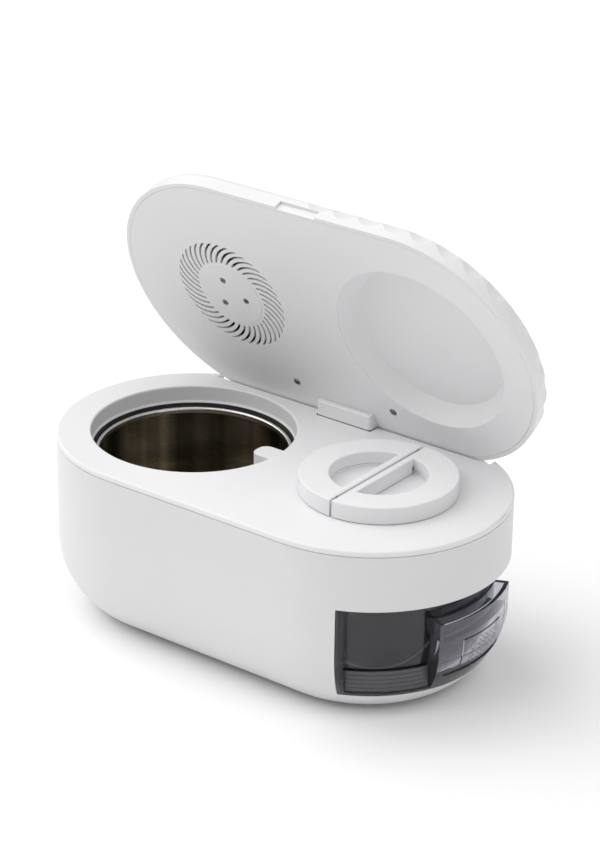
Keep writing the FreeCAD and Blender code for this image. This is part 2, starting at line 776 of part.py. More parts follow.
def make_fan_rotor():
    low = lid_z + liner_thickness + 2.2
    cup = tube(vent_x, 0, low, low + 8, 12.5)
    bore = tube(vent_x, 0, low, low + 10, 1.5 + shaft_clearance)
    cup = cut(cup, tube(vent_x, 0, low - 1, low + 5.5, 10.8), bore)
    blades = []
    for i in range(9):
        blade = box(11.8, 46, -0.7, 0.7, -4.2, 4.2)
        blade = turned(turned(blade, X_AXIS, 35), Z_AXIS, 40.0 * i)
        blade = moved(blade, vent_x, 0, low + 4.2)
        blades.append(blade)
    rotor = fused(cup, *blades).common(tube(vent_x, 0, low, low + 8, 46, 0))
    rotor = rotor.cut(tube(vent_x, 0, low - 1, low + 5.5, 10.8))
    return lid_turned(rotor)


# ---- hinge ----

cheek_width = 4.0
knuckle_corner = 2.5
knuckle_skin = 2.0
knuckle_hollow_radius = 12.6
bracket_eye_radius = 4.5
bracket_half_width = 12.0
bracket_web = 6.4
bracket_slope = 57.0  # below level, towards the rear


def hinge_profile(points, x0, x1):
    corners = [Vec(x0, y, z) for y, z in points]
    return Part.Face(Part.makePolygon(corners + corners[:1])).extrude(X_AXIS * (x1 - x0))


def make_hinge_knuckle():
    front = knuckle_front_y
    low = deck_z + 0.4
    points = [
        (front, low), (front, knuckle_top_z - 1), (front + 1, knuckle_top_z),
        (knuckle_root_y, knuckle_top_z), (knuckle_root_y + 4.3, knuckle_top_z + 1.7),
        (hinge_y + 2.5, hinge_z + 7.0), (hinge_y + 5.6, hinge_z + 2.0), (hinge_y + 3.0, hinge_z - 4.5),
        (hinge_y - 5.0, low),
    ]
    half = knuckle_width / 2
    block = hinge_profile(points, -half, half)
    corners = [e for e in block.Edges if e.BoundBox.YMax < front + 0.01 and e.BoundBox.ZLength > 5]
    block = block.makeFillet(knuckle_corner, corners)
    inner = half - cheek_width
    hollow = Part.makeCylinder(knuckle_hollow_radius, 2 * inner, Vec(-inner, hinge_y, hinge_z), X_AXIS)
    hollow = hollow.common(box(-inner, inner, 0, 200, 0, knuckle_top_z - knuckle_skin))
    eye_room = Part.makeCylinder(bracket_eye_radius + 0.4, 2 * inner, Vec(-inner, hinge_y, hinge_z), X_AXIS)
    bore = Part.makeCylinder(hinge_pin_radius + shaft_clearance, 200, Vec(-100, hinge_y, hinge_z), X_AXIS)
    return cut(block, hollow, eye_room, bore)


def make_hinge_bracket():
    half = bracket_half_width
    web = box(-half, half, 0, trough_radius + 1, -bracket_web / 2, bracket_web / 2)
    web = moved(turned(web, X_AXIS, -bracket_slope), 0, hinge_y, hinge_z)
    seat = Part.makeCylinder(trough_radius, 100, Vec(-50, hinge_y, hinge_z), X_AXIS)
    eye = Part.makeCylinder(bracket_eye_radius, 2 * half, Vec(-half, hinge_y, hinge_z), X_AXIS)
    bore = Part.makeCylinder(hinge_pin_radius, 200, Vec(-100, hinge_y, hinge_z), X_AXIS)
    return fused(web.common(seat), eye).cut(bore)


def make_hinge_pin():
    length = knuckle_width - 1
    return Part.makeCylinder(hinge_pin_radius, length, Vec(-length / 2, hinge_y, hinge_z), X_AXIS)


# ---- drawer ----

drawer_z = window_low + slide_gap
tub_top_z = 90.0
pane_high = window_high - slide_gap
pane_angle = window_angle - 0.35
return_angle = 3.0
insert_gap = 1.0
insert_wall = 2.0
insert_inset = tub_inset + tub_wall + insert_gap
scallop_radius = 47.0
scallop_low_z = 40.0
scallop_angle = 49.0
rib_count = 4
rib_pitch = 3.6
runner_y = 40.0
rail_top = drawer_z - face_gap


def drawer_block(inset, low, high, narrow=0.0, back=0.0):
    half = tub_half_width - narrow
    room = box(drawer_back_x + back, 400, -half, half, low - 1, high + 1)
    return housing_solid(inset, low, high).common(room)


def make_drawer_tub():
    outer = drawer_block(tub_inset, drawer_z, tub_top_z)
    inner = drawer_block(tub_inset + tub_wall, drawer_z + tub_wall, tub_top_z + 2, tub_wall, tub_wall)
    tub = outer.cut(inner)
    rear_gap = box(0, drawer_back_x + tub_wall + 1, -tub_half_width + 8, tub_half_width - 8,
                   drawer_z + drawer_back_height, 200)
    tub = tub.cut(rear_gap)
    front = housing_solid(0, drawer_z, pane_high)
    front = front.cut(housing_solid(tub_inset, drawer_z - 0.01, pane_high + 1))
    front = front.common(sector(end_offset, 200, pane_angle, 0, 200))
    hollow = sector(end_offset, 200, pane_angle - return_angle, drawer_z + 2.5, 200)
    front = front.cut(hollow)
    side_half = (pane_angle - return_angle - pull_half_angle) / 2
    side_middle = pull_half_angle + side_half
    ribs = []
    for i in range(rib_count):
        z = drawer_z + 3.6 + rib_pitch * i
        rib = housing_solid(tub_inset - 0.9, z, z + 1.3).cut(housing_solid(tub_inset + 0.5, z - 1, z + 3))
        for side in (-1, 1):
            ribs.append(rib.common(sector(end_offset, 200, side_half, 0, 200, side * side_middle)))
    runners = [
        box(drawer_back_x + 2, drawer_back_x + 32, y - 2, y + 2, drawer_z - 3, drawer_z + 0.5)
        for y in (-runner_y, runner_y)
    ]
    return fused(tub, front, *ribs, *runners)


def make_bowl_insert():
    z0 = drawer_z + tub_wall
    outer = drawer_block(insert_inset, z0, tub_top_z - 4, tub_wall + insert_gap, tub_wall + insert_gap)
    inner = drawer_block(
        insert_inset + insert_wall, z0 + 1.5, 200, tub_wall + insert_gap + insert_wall,
        tub_wall + insert_gap + insert_wall,
    )
    bowl = outer.cut(inner)
    rear_gap = box(0, drawer_back_x + 12, -200, 200, drawer_z + drawer_back_height, 200)
    bowl = bowl.cut(rear_gap)
    for side in (-1, 1):
        scallop = Part.makeCylinder(scallop_radius, 60, Vec(60, 0, scallop_low_z + scallop_radius), X_AXIS)
        scallop = moved(turned(scallop, Z_AXIS, side * scallop_angle), end_offset)
        bowl = bowl.cut(scallop)
    return bowl


def make_pull_panel():
    panel = housing_solid(0, drawer_z + 2.5, pull_top).cut(housing_solid(tub_inset, drawer_z, pull_top + 1))
    panel = panel.common(sector(end_offset, 200, pull_half_angle, 0, 200))
    groove = housing_solid(3.0, pull_top - 14, pull_top + 5)
    groove = groove.cut(housing_solid(tub_inset - 2.0, pull_top - 15, pull_top + 6))
    groove = groove.common(sector(end_offset, 200, pull_half_angle - 2.0, 0, 200))
    frame = housing_solid(-1, 32, pull_top - 8).cut(housing_solid(0.9, 30, pull_top))
    frame = frame.common(sector(end_offset, 200, pull_half_angle - 4.0, 0, 200))
    plaque = housing_solid(-2, 38, pull_top - 18)
    plaque = plaque.common(sector(end_offset, 200, pull_half_angle - 12.0, 0, 200))
    return cut(panel, groove, frame.cut(plaque))


def make_drawer_rails():
    low = base_z + plate_rebate
    rails = []
    for s in (-1, 1):
        bed = box(drawer_back_x + 2, 96, s * (runner_y + 6) - 3, s * (runner_y + 6) + 3, low, rail_top)
        rails.append(bed)
    return group(rails)


# ---- drive ----

gear_z = 41.0
wheel_distance = gear_module * (pinion_teeth + wheel_teeth) / 2 + 0.25
motor_x = hopper_x - wheel_distance
motor_radius = 12.0
motor_shaft_radius = 1.5
case_z = (36.0, 52.0)
case_wall = 2.5
case_cover = 2.5
case_x = (motor_x - 12.5, hopper_x + 29.0)
case_half_width = 29.0


def case_outline(x0, x1, half, z0, z1):
    solid = box(x0, x1, -half, half, z0, z1)
    upright = [e for e in solid.Edges if e.BoundBox.ZLength > z1 - z0 - 0.01]
    return solid.makeFillet(8, upright)


def make_gearbox_case():
    case = case_outline(case_x[0], case_x[1], case_half_width, *case_z)
    room = case_outline(
        case_x[0] + case_wall, case_x[1] - case_wall, case_half_width - case_wall,
        case_z[0] + case_wall, case_z[1] + 1,
    )
    legs = [
        tube(x, s * (case_half_width - 6), base_z + plate_rebate, case_z[0], 4.5)
        for x in (case_x[0] + 8, case_x[1] - 8) for s in (-1, 1)
    ]
    case = fused(case.cut(room), *legs)
    return cut(
        case, tube(hopper_x, 0, 0, 100, shaft_radius + shaft_clearance), tube(motor_x, 0, 0, 100, 3.0),
    )


def make_gearbox_cover():
    cover = case_outline(case_x[0], case_x[1], case_half_width, case_z[1], case_z[1] + case_cover)
    return cover.cut(tube(hopper_x, 0, 0, 100, shaft_radius + 3))


def make_shaft_bush():
    top = hopper_floor_height - steel
    return tube(hopper_x, 0, case_z[1], top, shaft_radius + 3, shaft_radius + shaft_clearance)


def make_drive_motor():
    can = tube(motor_x, 0, case_z[0] - 26, case_z[0], motor_radius)
    return can.cut(tube(motor_x, 0, case_z[0] - 14, case_z[0] + 1, motor_shaft_radius + shaft_clearance))


def make_motor_pinion():
    pinion = moved(gear(pinion_teeth, gear_height, motor_shaft_radius, 15.0), motor_x, 0, gear_z)
    return fused(pinion, tube(motor_x, 0, case_z[0] - 13, gear_z + gear_height + 1, motor_shaft_radius))


def make_drive_wheel():
    wheel = moved(gear(wheel_teeth, gear_height, shaft_radius, 0.0), hopper_x, 0, gear_z)
    return wheel


def make_impeller_shaft():
    return tube(hopper_x, 0, case_z[0] + 0.5, hopper_floor_height + 10, shaft_radius)


def make_impeller():
    low = hopper_floor_height + 0.5
    hub = revolved(profile(
        (0, low), (12, low), (12, low + 6), (0, low + 14, 9, low + 12),
    ), hopper_x)
    blades = []
    for i in range(impeller_blades):
        blade = box(8, hopper_radius - 5.5, -2, 2, low + 0.3, low + 8)
        blades.append(moved(turned(blade, Z_AXIS, 360.0 * i / impeller_blades + 10), hopper_x))
    return fused(hub, *blades).cut(tube(hopper_x, 0, 0, hopper_floor_height + 10, shaft_radius))


def make_outlet_chute():
    top = hopper_floor_height - steel
    x0 = hopper_x + outlet_near - 2
    x1 = hopper_x + outlet_far + 2
    end = drawer_back_x + 21
    half = outlet_half_width + 2
    low_end = drawer_z + drawer_back_height + 1.5

    def slab(points, half_width):
        corners = [Vec(x, -half_width, z) for x, z in points]
        return Part.Face(Part.makePolygon(corners + corners[:1])).extrude(Y_AXIS * 2 * half_width)

    outer = slab([(x0, top), (x1, top), (end, low_end + 16), (end, low_end), (x0, top - 8)], half)
    inner = slab(
        [(x0 + 2, top + 1), (x1 - 2, top + 1), (x1 - 2, top - 1.5), (end + 1, low_end + 13.8),
         (end + 1, low_end + 2), (x0 + 2, top - 6)],
        half - 2,
    )
    return outer.cut(inner)


# ---- electrics ----

def make_control_board():
    board = box(board_x[0], board_x[1], board_y, board_y + board_thickness, board_z[0], board_z[1])
    return board


def make_board_parts():
    face = board_y
    parts = [
        box(-8, 6, face - 2.5, face, 80, 94),
        box(14, 26, face - 6, face, 70, 84),
        box(32, 44, face - 6, face, 92, 100),
    ]
    for i in range(3):
        parts.append(Part.makeCylinder(3, 6, Vec(-12 + 9 * i, face - 6, 102), Y_AXIS))
    return group(parts)


def make_level_sensor():
    x0 = hopper_x + sensor_tab_reach + 2
    top = deck_z - sensor_tab_thickness
    return box(x0, x0 + sensor_length, -6, 6, top - 5, top)


def make_dc_jack():
    barrel = Part.makeCylinder(jack_radius, 16, Vec(jack_x, jack_boss_y - 8, jack_z), Y_AXIS)
    socket = Part.makeCylinder(3.2, 12, Vec(jack_x, jack_boss_y - 3, jack_z), Y_AXIS)
    nut = Part.makeCylinder(jack_radius + 3, 2.5, Vec(jack_x, jack_boss_y - 2.5, jack_z), Y_AXIS)
    contact = Part.makeCylinder(1.0, 9, Vec(jack_x, jack_boss_y - 3, jack_z), Y_AXIS)
    return fused(barrel.fuse(nut).cut(socket), contact)


PIECES = {
    "base_shell": make_base_shell,
    "base_plate": make_base_plate,
    "base_screws": make_base_screws,
    "rubber_feet": make_rubber_feet,
    "deck_panel": make_deck_panel,
    "hopper_tub": make_hopper_tub,
    "hopper_seal": make_hopper_seal,
    "tub_cradle": make_tub_cradle,
    "cradle_screws": make_cradle_screws,
    "canister_well": make_canister_well,
    "outlet_chute": make_outlet_chute,
    "gearbox_case": make_gearbox_case,
    "gearbox_cover": make_gearbox_cover,
    "shaft_bush": make_shaft_bush,
    "drive_motor": make_drive_motor,
    "motor_pinion": make_motor_pinion,
    "drive_wheel": make_drive_wheel,
    "impeller_shaft": make_impeller_shaft,
    "impeller": make_impeller,
    "control_board": make_control_board,
    "board_parts": make_board_parts,
    "level_sensor": make_level_sensor,
    "dc_jack": make_dc_jack,
    "drawer_rails": make_drawer_rails,
    "drawer_tub": make_drawer_tub,
    "bowl_insert": make_bowl_insert,
    "pull_panel": make_pull_panel,
    "cap_base": make_cap_base,
    "cap_seal": make_cap_seal,
    "cap_wing_left": lambda: make_wing(-1),
    "cap_wing_right": lambda: make_wing(1),
    "wing_pins": make_wing_pins,
    "desiccant_canister": make_desiccant_canister,
    "desiccant_pack": make_desiccant_pack,
    "hinge_bracket": make_hinge_bracket,
    "hinge_pin": make_hinge_pin,
    "hinge_knuckle": make_hinge_knuckle,
    "lid_shell": make_lid_shell,
    "lid_liner": make_lid_liner,
    "lid_screws": make_lid_screws,
    "vent_grille": make_vent_grille,
    "grille_screws": make_grille_screws,
    "fan_frame": make_fan_frame,
    "fan_motor": make_fan_motor,
    "fan_rotor": make_fan_rotor,
}

os.makedirs("parts", exist_ok=True)
for name, make in PIECES.items():
    shape = make()
    solids = shape.Solids
    if not shape.isValid() or not solids:
        raise RuntimeError(name + " is not a valid solid")
    shape.exportStep("parts/" + name + ".step")
    print(name, len(solids), "solids", round(sum(s.Volume for s in solids) / 1000, 2), "cm3")
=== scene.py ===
"""Looks of the automatic pet feeder: materials, drawer details, painted shade in the hopper's gap,
studio and camera.
"""

import json
import math

import bmesh
import bpy
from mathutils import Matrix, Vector


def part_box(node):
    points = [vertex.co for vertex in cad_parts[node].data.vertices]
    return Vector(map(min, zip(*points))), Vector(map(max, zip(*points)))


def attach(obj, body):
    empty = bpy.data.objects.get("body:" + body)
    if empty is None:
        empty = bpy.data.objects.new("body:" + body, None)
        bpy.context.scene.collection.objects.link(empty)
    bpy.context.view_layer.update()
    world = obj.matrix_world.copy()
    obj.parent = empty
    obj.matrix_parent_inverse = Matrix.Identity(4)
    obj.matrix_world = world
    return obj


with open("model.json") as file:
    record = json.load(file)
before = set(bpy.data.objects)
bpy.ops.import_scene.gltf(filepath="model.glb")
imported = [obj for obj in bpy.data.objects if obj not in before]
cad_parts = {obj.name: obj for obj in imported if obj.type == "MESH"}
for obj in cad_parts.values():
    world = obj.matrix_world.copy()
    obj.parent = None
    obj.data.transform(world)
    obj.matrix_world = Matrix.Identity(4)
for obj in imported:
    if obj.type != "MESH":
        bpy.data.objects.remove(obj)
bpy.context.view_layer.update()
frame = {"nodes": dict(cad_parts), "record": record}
nodes = frame["nodes"]


# ---- material helpers ----

class Graph:
    """A material's node tree, with short calls for the nodes that this script uses."""

    def __init__(self, name):
        self.material = bpy.data.materials.new(name)
        self.material.use_nodes = True
        self.tree = self.material.node_tree
        self.shader = self.tree.nodes["Principled BSDF"]
        self.coords = self.node("ShaderNodeTexCoord").outputs["Object"]

    def node(self, kind, **values):
        made = self.tree.nodes.new(kind)
        for key, value in values.items():
            setattr(made, key, value)
        return made

    def link(self, source, target):
        self.tree.links.new(source, target)

    def feed(self, source, name):
        """Link a source to one of the shader's inputs."""
        self.link(source, self.shader.inputs[name])

    def set(self, **values):
        for key, value in values.items():
            self.shader.inputs[key.replace("_", " ")].default_value = value

    def noise(self, scale, detail=2.0, stretch=None, rough=0.5):
        made = self.node("ShaderNodeTexNoise")
        made.inputs["Scale"].default_value = scale
        made.inputs["Detail"].default_value = detail
        made.inputs["Roughness"].default_value = rough
        source = self.coords
        if stretch:
            mapping = self.node("ShaderNodeMapping")
            mapping.inputs["Scale"].default_value = stretch
            self.link(self.coords, mapping.inputs["Vector"])
            source = mapping.outputs["Vector"]
        self.link(source, made.inputs["Vector"])
        return made.outputs["Fac"]

    def ramp(self, source, *stops):
        made = self.node("ShaderNodeValToRGB")
        elements = made.color_ramp.elements
        while len(elements) < len(stops):
            elements.new(0.5)
        for element, (place, color) in zip(elements, stops):
            element.position = place
            element.color = (*color, 1.0)
        self.link(source, made.inputs["Fac"])
        return made.outputs["Color"]

    def spread(self, source, low, high):
        made = self.node("ShaderNodeMapRange")
        made.inputs["To Min"].default_value = low
        made.inputs["To Max"].default_value = high
        self.link(source, made.inputs["Value"])
        return made.outputs["Result"]

    def bump(self, source, distance, strength):
        made = self.node("ShaderNodeBump")
        made.inputs["Distance"].default_value = distance
        made.inputs["Strength"].default_value = strength
        self.link(source, made.inputs["Height"])
        return made.outputs["Normal"]


def shade(color, factor):
    return tuple(min(1.0, c * factor) for c in color)


def moulded(name, color, roughness, grain=2600.0, grain_depth=0.00002, drift=0.03):
    """Moulded plastic: a fine spark-eroded grain, with slow changes of tone and gloss."""
    g = Graph(name)
    slow = g.noise(9.0, 3.0)
    tone = g.ramp(slow, (0.3, shade(color, 1 - drift)), (0.7, shade(color, 1 + drift)))
    g.feed(tone, "Base Color")
    g.feed(g.spread(g.noise(60.0, 4.0), roughness - 0.05, roughness + 0.05), "Roughness")
    g.feed(g.bump(g.noise(grain, 2.0), grain_depth, 0.6), "Normal")
    return g


def plain_metal(name, color, roughness):
    g = Graph(name)
    fine = g.noise(900.0, 3.0)
    g.set(Metallic=1.0)
    tone = g.ramp(fine, (0.3, shade(color, 0.9)), (0.7, shade(color, 1.05)))
    g.feed(tone, "Base Color")
    g.feed(g.spread(fine, roughness - 0.06, roughness + 0.06), "Roughness")
    g.feed(g.bump(fine, 0.00002, 0.4), "Normal")
    return g.material


def rubber(name, color):
    g = moulded(name, color, 0.7, grain=1500.0, grain_depth=0.00005, drift=0.1)
    g.set(Specular_IOR_Level=0.3)
    return g.material


def smoked(name, tint, roughness, clear, gloss=0.5):
    """Smoked clear plastic: see-through as far as clear says, with a tint and a few flow marks."""
    g = Graph(name)
    flow = g.noise(14.0, 2.0)
    tone = g.ramp(flow, (0.3, shade(tint, 0.92)), (0.7, shade(tint, 1.08)))
    g.feed(tone, "Base Color")
    g.feed(g.spread(g.noise(40.0, 2.0), roughness, roughness + 0.03), "Roughness")
    g.set(Transmission_Weight=clear, IOR=1.49, Specular_IOR_Level=gloss)
    return g.material


# ---- materials ----

# One white plastic: the shell's white is painted about a tenth darker than the deck's, as shade on
# the housing's sides.
SHADED_SHELL_WHITE = (0.72, 0.715, 0.725)
DECK_WHITE = (0.80, 0.795, 0.805)

RIM_HEIGHT = 0.0042  # of the hopper's rolled rim, in metres as every length here
# The bore's colours, darkest first: painted shade in its depth, up to painted upright glints.
BORE_SHADOW = (0.10, 0.09, 0.07)
BORE_SHADED_STEEL = (0.26, 0.235, 0.18)
BORE_GLINT = (0.60, 0.52, 0.40)
RIM_DULL = (0.62, 0.61, 0.58)
RIM_BRIGHT = (0.78, 0.77, 0.74)
MIX_A, MIX_B, MIX_RESULT = 6, 7, 2  # the Mix node's colour sockets, whose names its other types share


def white_shell():
    # painted shade: the housing's sides get a darker copy of the deck's white
    g = moulded("white_shell", SHADED_SHELL_WHITE, 0.36, drift=0.012)
    g.set(Specular_IOR_Level=0.45)
    return g.material


def white_deck():
    g = moulded("white_deck", DECK_WHITE, 0.40, grain=2200.0, drift=0.012)
    g.set(Specular_IOR_Level=0.42)
    return g.material


def brushed_hopper_painted_shade():
    """Steel brushed round the bore. Below the rim its colour is painted dark as shade in the deep
    bore, with painted upright glints; the rim keeps a bright steel tone.
    """
    g = Graph("brushed_hopper_painted_shade")
    rim_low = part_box("hopper_tub")[1][2] - RIM_HEIGHT
    lines = g.noise(40.0, 6.0, stretch=(1.0, 1.0, 160.0), rough=0.7)
    # painted glints: upright reflections as lighter stripes in the bore's colour
    glints = g.noise(32.0, 2.0, stretch=(1.0, 1.0, 0.01), rough=0.4)
    bore_painted_shade = g.ramp(glints, (0.40, BORE_SHADOW), (0.52, BORE_SHADED_STEEL), (0.62, BORE_GLINT))
    rim_steel_tone = g.ramp(lines, (0.25, RIM_DULL), (0.75, RIM_BRIGHT))
    place = g.node("ShaderNodeSeparateXYZ")
    g.link(g.coords, place.inputs["Vector"])
    # below the rim the colour is painted shade and glints; on the rim it is the steel's tone
    on_rim = g.node("ShaderNodeMath", operation="GREATER_THAN")
    on_rim.inputs[1].default_value = rim_low
    g.link(place.outputs["Z"], on_rim.inputs[0])
    mix = g.node("ShaderNodeMix", data_type="RGBA")
    g.link(on_rim.outputs["Value"], mix.inputs["Factor"])
    g.link(bore_painted_shade, mix.inputs[MIX_A])
    g.link(rim_steel_tone, mix.inputs[MIX_B])
    g.feed(mix.outputs[MIX_RESULT], "Base Color")
    g.set(Metallic=1.0, Anisotropic=0.6)
    g.feed(g.spread(lines, 0.20, 0.36), "Roughness")
    g.feed(g.bump(lines, 0.00004, 0.5), "Normal")
    return g.material


def circuit_board():
    return moulded("circuit_board", (0.02, 0.16, 0.07), 0.35, drift=0.15).material


def desiccant_felt():
    felt = (0.62, 0.6, 0.55)
    g = moulded("desiccant_felt", felt, 0.9, grain=500.0, grain_depth=0.0004, drift=0.12)
    g.set(Sheen_Weight=0.3)
    return g.material


def dark_plastic():
    return moulded("dark_plastic", (0.035, 0.035, 0.038), 0.45, drift=0.08).material


def pale_plastic():
    return moulded("pale_plastic", (0.72, 0.70, 0.64), 0.4, drift=0.04).material


MATERIALS = {
    "white_shell": white_shell(),
    "white_deck": white_deck(),
    "hopper_steel": brushed_hopper_painted_shade(),
    "screw_steel": plain_metal("screw_steel", (0.2, 0.2, 0.205), 0.35),
    "rubber": rubber("foot_rubber", (0.02, 0.02, 0.022)),
    "seal_silicone": rubber("seal_silicone", (0.02, 0.02, 0.021)),
    "impeller_silicone": rubber("impeller_silicone", (0.45, 0.45, 0.46)),
    "inner_plastic": dark_plastic(),
    "bush_brass": plain_metal("bush_brass", (0.72, 0.52, 0.24), 0.3),
    "motor_can": plain_metal("motor_can", (0.55, 0.55, 0.56), 0.35),
    "gear_plastic": pale_plastic(),
    "board_green": circuit_board(),
    "smoked_clear": smoked("smoked_clear", (0.62, 0.62, 0.68), roughness=0.02, clear=0.95),
    "smoked_dark": smoked("smoked_dark", (0.16, 0.16, 0.18), roughness=0.10, clear=0.5),
    "desiccant": desiccant_felt(),
}
NODE_MATERIALS = {
    "drawer_tub": smoked("smoked_pane", (0.50, 0.51, 0.57), 0.02, clear=1.0, gloss=0.1),
    "bowl_insert": smoked("smoked_bowl", (0.05, 0.05, 0.055), 0.18, clear=0.2, gloss=0.12),
}


def finish_nodes():
    """Give every CAD node the material of its record slot, or one of its own."""
    slots = {s["node"]: s["material_slot"] for s in frame["record"]["subparts"]}
    for name, piece in nodes.items():
        piece.data.materials.clear()
        piece.data.materials.append(NODE_MATERIALS.get(name, MATERIALS[slots[name]]))


finish_nodes()


# ---- drawer details ----
# Angles are in degrees round the housing's round end, from its middle.

END_X = 0.080  # centre of the housing's round end
CURVE_TOP = 0.058  # height at which the skin starts to turn in towards the base
CURVE_RADIUS = 0.065
CURVE_CENTRE = 0.040  # distance of the turn's centre from the round end's axis
TUB_INSET = 0.012  # of the drawer tub's wall behind the skin
WINDOW_ANGLE = 66.0
PULL_ANGLE = 25.0

STEP_COUNT = 5
STEP_LOW = 0.0232
STEP_PITCH = 0.0031
STEP_DEPTH = 0.0004
STEP_FOOT_INSET = 0.0022
STEP_HEAD_PROUD = 0.0012  # of the tub's wall
STEP_BACK = 0.0010  # from the head to the back of the steps
STEP_END = 2.9  # angle left between the steps and the window's edge
STEP_SEGMENTS = 32

SCALLOP_ANGLE = 49.0
SCALLOP_RADIUS = 0.047
SCALLOP_LOW = 0.040
SCALLOP_REACH = 52.0  # angle of the arc to each side of its lowest point
SCALLOP_INSET = 0.0034  # of the bowl's edge behind the tub's wall
BEAD_RADIUS = 0.0007
BEAD_SEGMENTS = 48
BEAD_SIDES = 10

EDGE_LOW = 0.0212
EDGE_HIGH = 0.0928
EDGE_STEP = 0.071  # height above which the window's edge is narrower
EDGE_WIDE = 1.5
EDGE_NARROW = 0.9
EDGE_OVERLAP = 0.3  # angle past the window
EDGE_SINK = 0.0003  # behind the skin
EDGE_THICKNESS = 0.0030
EDGE_SEGMENTS = 36


def skin_radius(z, inset=0.0):
    """Distance of the housing's skin from the round end's axis at height z, moved in by inset."""
    drop = max(0.0, CURVE_TOP - z)
    radius = CURVE_RADIUS - inset
    return CURVE_CENTRE + math.sqrt(max(0.0, radius * radius - drop * drop))


def end_point(angle, radius, z):
    a = math.radians(angle)
    return Vector((END_X + radius * math.cos(a), radius * math.sin(a), z))


def sided(name, side):
    return name + ("_left" if side < 0 else "_right")


def grid_mesh(name, rows, material, body, closed=False):
    """A skin over rows of points, riding on a body. Closed rows are rings, with both ends filled."""
    mesh = bpy.data.meshes.new(name)
    build = bmesh.new()
    made = [[build.verts.new(point) for point in row] for row in rows]
    for low, high in zip(made, made[1:]):
        count = len(low)
        for i in range(count if closed else count - 1):
            j = (i + 1) % count
            build.faces.new((low[i], low[j], high[j], high[i]))
    if closed:
        build.faces.new(list(reversed(made[0])))
        build.faces.new(made[-1])
    bmesh.ops.recalc_face_normals(build, faces=build.faces)
    build.to_mesh(mesh)
    build.free()
    mesh.materials.append(material)
    piece = bpy.data.objects.new(name, mesh)
    bpy.context.scene.collection.objects.link(piece)
    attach(piece, body)
    return piece


def step_profile():
    """(distance from the axis, height) up the stepped face from lip to tub wall, then its back."""
    foot = skin_radius(STEP_LOW) - STEP_FOOT_INSET
    head_z = STEP_LOW + STEP_COUNT * STEP_PITCH
    head = skin_radius(head_z, TUB_INSET) + STEP_HEAD_PROUD
    back = head - STEP_BACK
    points = [(foot, STEP_LOW)]
    for i in range(STEP_COUNT):
        share = (i + 1) / STEP_COUNT
        radius = foot + (head - foot) * share
        z = STEP_LOW + STEP_PITCH * (i + 1)
        points += [(radius + STEP_DEPTH, z), (radius, z)]
    return points + [(back, head_z), (back, STEP_LOW)]


def steps(side, material):
    """The stepped lower face of the drawer's front, beside the pull."""
    first, last = sorted((side * PULL_ANGLE, side * (WINDOW_ANGLE - STEP_END)))
    rows = []
    for i in range(STEP_SEGMENTS + 1):
        angle = first + (last - first) * i / STEP_SEGMENTS
        rows.append([end_point(angle, radius, z) for radius, z in step_profile()])
    grid_mesh(sided("steps", side), rows, material, "drawer", closed=True)


def scallop_bead(side, material):
    """The rounded lip along the bowl's scalloped edge, tinted lighter than the bowl as a painted
    highlight.
    """
    rows = []
    middle = math.radians(side * SCALLOP_ANGLE)
    out = Vector((math.cos(middle), math.sin(middle), 0.0))
    across = Vector((-math.sin(middle), math.cos(middle), 0.0))
    for i in range(BEAD_SEGMENTS + 1):
        t = math.radians(SCALLOP_REACH * (2 * i / BEAD_SEGMENTS - 1))
        z = SCALLOP_LOW + SCALLOP_RADIUS * (1 - math.cos(t))
        offset = SCALLOP_RADIUS * math.sin(t)
        radius = skin_radius(z, TUB_INSET) - SCALLOP_INSET
        depth = math.sqrt(radius**2 - offset**2)
        centre = Vector((END_X, 0.0, z)) + across * offset + out * depth
        along = (across * math.cos(t) + Vector((0.0, 0.0, math.sin(t)))).normalized()
        first = out.cross(along).normalized()
        second = along.cross(first).normalized()
        rows.append([
            centre + BEAD_RADIUS * (math.cos(b) * first + math.sin(b) * second)
            for b in (math.tau * k / BEAD_SIDES for k in range(BEAD_SIDES))
        ])
    grid_mesh(sided("scallop", side), rows, material, "drawer", closed=True)


def window_edge(side, material):
    """The dark blue edge of the drawer's window, narrower above its step."""
    rows = []
    edge = side * (WINDOW_ANGLE + EDGE_OVERLAP)
    for i in range(EDGE_SEGMENTS + 1):
        z = EDGE_LOW + (EDGE_HIGH - EDGE_LOW) * i / EDGE_SEGMENTS
        inner_edge = edge - side * (EDGE_NARROW if z > EDGE_STEP else EDGE_WIDE)
        outer = skin_radius(z) - EDGE_SINK
        inner = outer - EDGE_THICKNESS
        rows.append([
            end_point(edge, outer, z), end_point(inner_edge, outer, z),
            end_point(inner_edge, inner, z), end_point(edge, inner, z),
        ])
    grid_mesh(sided("window_edge", side), rows, material, "drawer", closed=True)


def drawer_details():
    pale = smoked("smoked_steps", (0.22, 0.22, 0.235), 0.12, clear=0.65, gloss=0.4)
    # painted highlight: the lip's lighter tint against the dark bowl
    bead = smoked("smoked_bead_painted_highlight", (0.42, 0.42, 0.43), 0.12, clear=0.2, gloss=0.6)
    navy = smoked("smoked_navy", (0.02, 0.022, 0.06), 0.05, clear=0.3, gloss=0.6)
    for side in (-1, 1):
        steps(side, pale)
        scallop_bead(side, bead)
        window_edge(side, navy)


drawer_details()


# ---- hopper gap: painted shade ----

GAP_SHADE_OUTER = 0.0764
GAP_SHADE_INNER = 0.0754
GAP_SHADE_TOP_WIDTH = 0.0004
GAP_SHADE_FOOT = 0.0030  # below the top of the hopper's rim, as is the shoulder
GAP_SHADE_SHOULDER = 0.0006
GAP_SHADE_LIP = 0.0018  # above the top of the rim, as is the peak
GAP_SHADE_PEAK = 0.0022
GAP_SHADE_SEGMENTS = 160


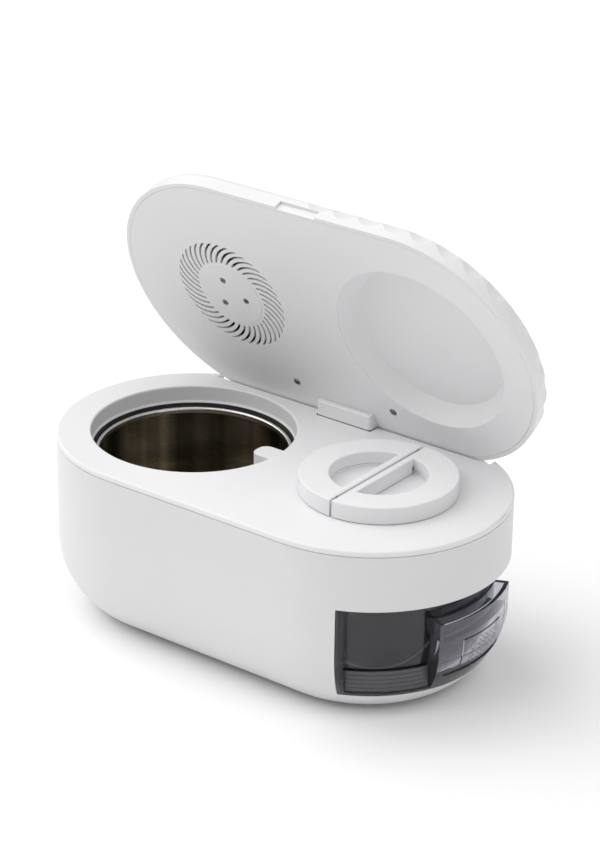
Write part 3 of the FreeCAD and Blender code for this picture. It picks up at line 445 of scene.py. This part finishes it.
def hopper_gap_shade_ring():
    """A black ring in the gap between the collar and the hopper's rolled rim: painted shade, a dark
    piece standing where that gap is in shadow.
    """
    low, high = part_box("hopper_tub")
    axis_x = (low.x + high.x) / 2
    rim_z = high.z
    section = (
        (GAP_SHADE_INNER, rim_z - GAP_SHADE_FOOT),
        (GAP_SHADE_INNER, rim_z - GAP_SHADE_SHOULDER),
        (GAP_SHADE_OUTER - GAP_SHADE_TOP_WIDTH, rim_z + GAP_SHADE_LIP),
        (GAP_SHADE_OUTER, rim_z + GAP_SHADE_PEAK),
        (GAP_SHADE_OUTER, rim_z - GAP_SHADE_FOOT),
    )
    ring = [math.tau * i / GAP_SHADE_SEGMENTS for i in range(GAP_SHADE_SEGMENTS)]
    rows = []
    for radius, z in section + section[:1]:
        rows.append([
            Vector((axis_x + radius * math.cos(a), radius * math.sin(a), z))
            for a in ring + ring[:1]
        ])
    # painted shade: a black ring where the gap between collar and rim is in shadow
    grid_mesh("hopper_gap_shade_ring", rows, MATERIALS["seal_silicone"], "housing")


hopper_gap_shade_ring()


# ---- studio ----

FLOOR_SIZE = 3.0
FLOOR_DROP = 0.0002  # below the feet
FLOOR_DULL = (0.955, 0.955, 0.955)
FLOOR_BRIGHT = (0.97, 0.97, 0.97)

SKY = 0.46
LAMP_DISTANCE = 3.0
LIGHTS = (
    # name, azimuth and height of the lamp in degrees, spread of its light, strength
    ("top", (0.0, 85.0), 60.0, 0.80),
    ("key", (-130.0, 45.0), 50.0, 0.76),
    ("right", (-10.0, 35.0), 50.0, 0.25),
    ("left", (180.0, 38.0), 60.0, 1.12),
)

LENS = 121.2
SENSOR_WIDTH = 36.0
CAMERA_PLACE = (1.1570, -1.5264, 1.0432)
CAMERA_TURN = (65.38, -0.80, 37.12)


def floor():
    mesh = bpy.data.meshes.new("floor")
    build = bmesh.new()
    bmesh.ops.create_grid(build, x_segments=1, y_segments=1, size=FLOOR_SIZE)
    build.to_mesh(mesh)
    build.free()
    piece = bpy.data.objects.new("floor", mesh)
    piece.location.z = -FLOOR_DROP
    bpy.context.scene.collection.objects.link(piece)
    g = Graph("floor_white")
    g.feed(g.ramp(g.noise(3.0), (0.3, FLOOR_DULL), (0.7, FLOOR_BRIGHT)), "Base Color")
    g.set(Roughness=0.6)
    mesh.materials.append(g.material)


def lamp(name, place, spread, strength):
    """A far, soft lamp: a sun whose disc is wide, as a large diffuser's is."""
    azimuth, height = (math.radians(a) for a in place)
    light = bpy.data.lights.new(name, "SUN")
    light.angle = math.radians(spread)
    light.energy = strength
    piece = bpy.data.objects.new(name, light)
    level = math.cos(height)
    toward = Vector((level * math.cos(azimuth), level * math.sin(azimuth), math.sin(height)))
    piece.location = LAMP_DISTANCE * toward
    piece.rotation_euler = toward.to_track_quat("Z", "Y").to_euler()
    bpy.context.scene.collection.objects.link(piece)


def studio():
    world = bpy.data.worlds.new("studio")
    world.use_nodes = True
    background = world.node_tree.nodes["Background"]
    background.inputs["Color"].default_value = (1.0, 1.0, 1.0, 1.0)
    background.inputs["Strength"].default_value = SKY
    bpy.context.scene.world = world
    for values in LIGHTS:
        lamp(*values)
    bpy.context.scene.view_settings.view_transform = "Standard"


def camera():
    """The viewing angle: from the front right, looking down on the deck."""
    data = bpy.data.cameras.new("camera")
    data.lens = LENS
    data.sensor_width = SENSOR_WIDTH
    view = bpy.data.objects.new("camera", data)
    view.location = CAMERA_PLACE
    view.rotation_euler = tuple(math.radians(a) for a in CAMERA_TURN)
    bpy.context.scene.collection.objects.link(view)
    bpy.context.scene.camera = view


floor()
studio()
camera()
